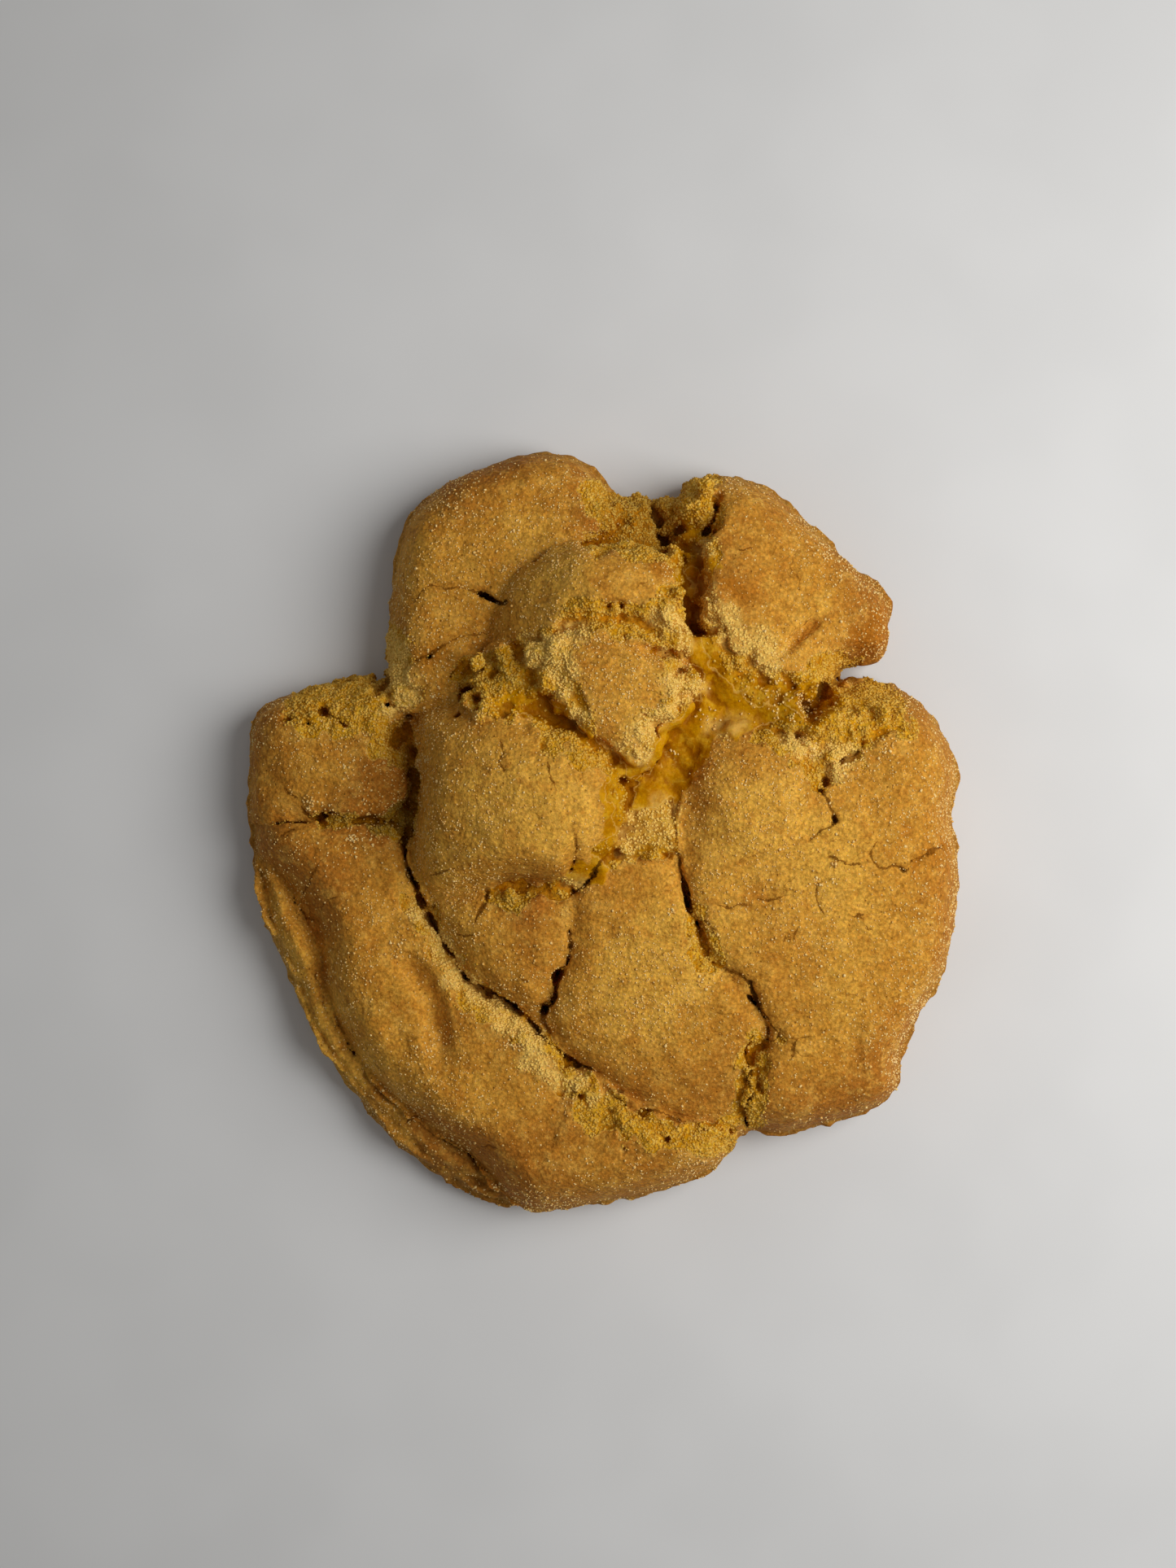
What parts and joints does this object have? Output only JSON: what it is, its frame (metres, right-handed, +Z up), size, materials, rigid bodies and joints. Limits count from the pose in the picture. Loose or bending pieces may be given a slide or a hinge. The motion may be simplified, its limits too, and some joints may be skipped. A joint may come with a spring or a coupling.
{
  "type": "pumpkin sugar cookie",
  "caption": "Thick round pumpkin sugar cookie, cracked into raised plates with a torn moist middle and a folded lower lip, on a flat underside.",
  "frame": {"origin": "centre of the outline, on the flat underside, at z = 0", "axes": "+Z up; +Y from the moist middle towards the two upper lobes, along the longer side of the outline; +X towards the broad smooth plate on the right, as seen from above"},
  "size_m": [0.1, 0.1062, 0.0262],
  "materials": {
    "baked_dough": "baked golden-brown crust with a fine sandy grain, moist and amber where it is torn"
  },
  "bodies": {
    "root": {"cookie": "baked_dough"}
  },
  "joints": []
}
